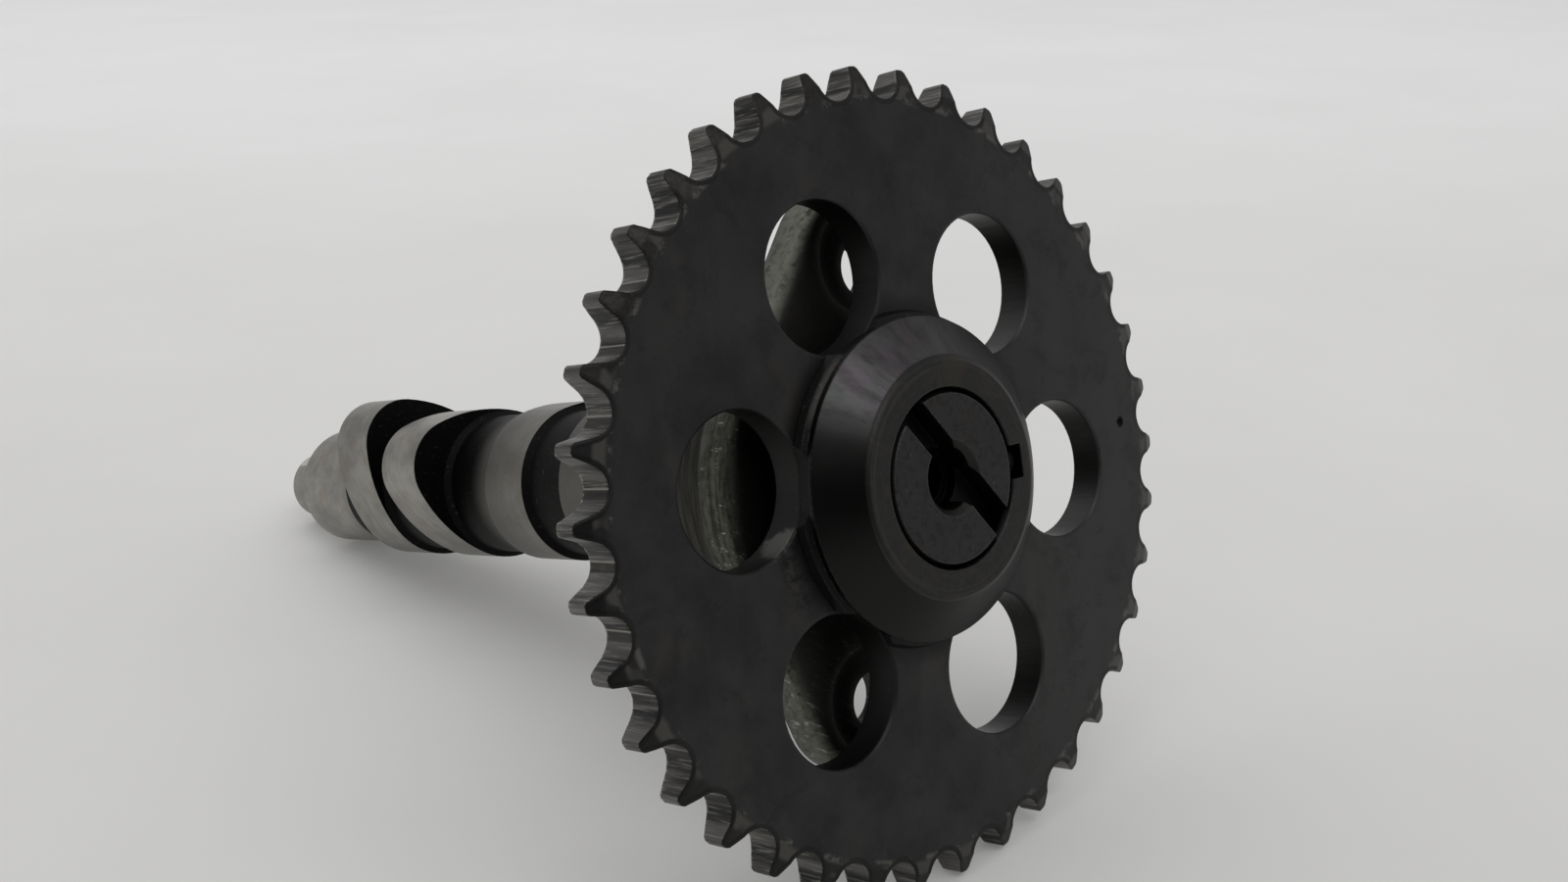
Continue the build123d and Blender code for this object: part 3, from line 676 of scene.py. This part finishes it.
def cast_flange():
    """Bearing flange: grey cast iron with painted shade on its front and in its ears' recesses,
    scratched bright on its edge, with a dark pilot.
    """
    paint = Paint("cast_flange_iron")
    at = ShaftPlace(paint)
    clouds = paint.noise(at.point, scale=0.22, detail=4.0, roughness=0.65)
    mottle = paint.noise(at.point, scale=0.8, detail=5.0, roughness=0.7)
    grain = paint.noise(at.point, scale=2.2, detail=4.0, roughness=0.75)
    slant = paint.point(at.x * 0.5 + at.y * 0.9, at.x * 0.14 - at.y * 0.10, at.z * 0.3)
    scratched = paint.noise(slant, scale=1.4, detail=5.0, roughness=0.8)
    scratched = scratched + paint.rise(at.y, 2.0, -14.0) * 0.06
    scratched = paint.rise(scratched, 0.62, 0.68)
    rear = paint.rise(at.z, PILOT_START + 0.3, PILOT_START - 0.3)
    rounded = rounded_edges(paint, width=2.6)
    edge = (1 - rear) * paint.rise(paint.dot(rounded, NOSE), 0.995, 0.62)
    machined = (1 - rear) * (1 - edge)
    colour = paint.mix(clouds, CAST_DARK, CAST_LIGHT)
    colour = paint.mix(edge, colour, cast_edge(paint, at, mottle))
    # Painted shade: the machined front face, shadowed by the sprocket, is laid darker.
    colour = paint.over(colour, MACHINED_FACE_SHADE, machined, amount=0.5)
    colour = paint.over(colour, SCRATCH_BRIGHT, scratched * (0.06 + edge * 0.85))
    rings = at.hooped(paint, round_about=2.0, along=1.6)
    rings = paint.noise(rings, scale=1.0, detail=4.0, roughness=0.65)
    pilot = paint.mix(paint.rise(rings, 0.35, 0.70), PILOT_DARK, PILOT_LIGHT)
    colour = paint.mix(rear * (1 - at.flat), colour, pilot)
    side = at.y.math("SIGN")
    ear = ((at.y * side - EAR_HOLE[1]) ** 2 + (at.x * side - EAR_HOLE[0]) ** 2) ** 0.5
    # Painted shade: the shallow recesses round the ears' bolt holes are laid black.
    recess = paint.rise(ear, *EAR_RECESS_EDGE) * (1 - rear)
    colour = paint.over(colour, RECESS_SHADE, recess, amount=0.75)
    roughness = 0.40 + clouds * 0.12 - scratched * 0.06
    height = grain * 0.8 + mottle * 1.2 + scratched * 0.5
    normal = paint.bump(height, depth=0.05, normal=rounded)
    return paint.finish(colour, roughness, normal, metallic=0.93, Specular_IOR_Level=0.4)


def table_white():
    """Pale floor, a little lighter far behind the part than in front of it, with a painted glow for
    camera and glossy rays.
    """
    paint = Paint("pale_floor")
    here = paint.node("ShaderNodeTexCoord", output="Object")
    depth = paint.dot(here, FLOOR_DEPTH)
    tone = paint.noise(here, scale=6.0, detail=4.0, roughness=0.6) * 0.3
    tone = tone + paint.rise(depth, -0.25, 0.9) * 0.7
    colour = paint.mix(tone, FLOOR_NEAR, FLOOR_FAR)
    # Painted light: the floor glows a little for camera, glossy and transmission rays, more so far
    # behind the part.
    seen = paint.node("ShaderNodeLightPath", output="Is Camera Ray")
    for ray in ("Is Glossy Ray", "Is Transmission Ray"):
        seen = seen + paint.node("ShaderNodeLightPath", output=ray)
    camera_glow = paint.mix(seen.math("MINIMUM", 1.0), GLOW_NONE, paint.mix(tone, GLOW_NEAR, GLOW_FAR))
    normal = paint.bump(tone, depth=0.2)
    return paint.finish(colour, 0.75, normal, metallic=0.0, Specular_IOR_Level=0.2,
                        Emission_Color=camera_glow, Emission_Strength=1.0)


def black_felt():
    """Felt of the dark card."""
    paint = Paint("black_felt")
    here = paint.node("ShaderNodeTexCoord", output="Object")
    nap = paint.noise(here, scale=400.0, detail=3.0, roughness=0.6)
    colour = paint.mix(nap, FELT_DARK, FELT_LIGHT)
    normal = paint.bump(nap, depth=0.2)
    return paint.finish(colour, 0.9, normal, metallic=0.0, Specular_IOR_Level=0.1)


def dress(node, material):
    """Gives a CAD node its finish."""
    piece = frame["nodes"][node]
    piece.data.materials.clear()
    piece.data.materials.append(material)


def stand(name, data):
    """Puts a new object with this mesh, lamp or camera into the scene."""
    thing = bpy.data.objects.new(name, data)
    bpy.context.scene.collection.objects.link(thing)
    return thing


def sheet(name, corners, material):
    """One flat sheet with these four corners."""
    mesh = bpy.data.meshes.new(name)
    mesh.from_pydata(corners, [], [(0, 1, 2, 3)])
    mesh.materials.append(material)
    return stand(name, mesh)


def lay_floor():
    """A wide flat floor under the part."""
    half = FLOOR_HALF
    corners = [(-half, -half, 0), (half, -half, 0), (half, half, 0), (-half, half, 0)]
    floor = sheet("floor", corners, table_white())


def dark_card():
    """Black card behind the camera, which darkens whatever mirrors it; the camera can't see it."""
    corners = [(-CARD_HALF, 0, CARD_FOOT), (CARD_HALF, 0, CARD_FOOT)]
    corners += [(CARD_HALF, 0, CARD_TOP), (-CARD_HALF, 0, CARD_TOP)]
    card = sheet("dark_card", corners, black_felt())
    card.location = CARD_PLACE
    card.rotation_euler = (0, 0, CARD_TURN)
    card.visible_camera = False


def soft_light(name, place, aim, size, power):
    """One rectangular softbox that points at a place."""
    lamp = bpy.data.lights.new(name, "AREA")
    lamp.shape = "RECTANGLE"
    lamp.size, lamp.size_y = size
    lamp.energy = power
    holder = stand(name, lamp)
    holder.location = place
    holder.rotation_mode = "QUATERNION"
    holder.rotation_quaternion = (Vector(aim) - Vector(place)).to_track_quat("-Z", "Y")


def studio():
    """Softbox over the front, a wide ceiling light, the dark card and a plain pale room."""
    soft_light("front_softbox", SOFTBOX_PLACE, SOFTBOX_AIM, SOFTBOX_SIZE, SOFTBOX_POWER)
    soft_light("ceiling", CEILING_PLACE, CEILING_AIM, CEILING_SIZE, CEILING_POWER)
    dark_card()
    world = bpy.data.worlds.new("room")
    bpy.context.scene.world = world
    world.use_nodes = True
    room = world.node_tree.nodes["Background"]
    room.inputs["Color"].default_value = ROOM_COLOUR
    room.inputs["Strength"].default_value = ROOM_LIGHT


def place_camera():
    """Looks down at the nose from the front left."""
    data = bpy.data.cameras.new("camera")
    data.sensor_width = SENSOR_WIDTH
    data.lens = FOCAL_PIXELS / PICTURE_WIDTH * SENSOR_WIDTH
    data.clip_start = CAMERA_CLEARANCE
    camera = stand("camera", data)
    camera.location = CAMERA_PLACE
    turn = Matrix.Rotation(-math.radians(CAMERA_HEADING), 3, "Z")
    tip = Matrix.Rotation(math.radians(90 + CAMERA_PITCH), 3, "X")
    roll = Matrix.Rotation(math.radians(CAMERA_ROLL), 3, "Z")
    camera.rotation_euler = (turn @ tip @ roll).to_euler()
    bpy.context.scene.camera = camera


FINISHES = {
    "camshaft": shaft_iron,
    "sprocket_plate": black_oxide,
    "sprocket_hub": tinted_hub,
    "sprocket_key": drawn_steel,
    "bearing_flange": cast_flange,
}
for node, finish in FINISHES.items():
    dress(node, finish())
lay_floor()
studio()
place_camera()
bpy.context.scene.view_settings.view_transform = "Standard"
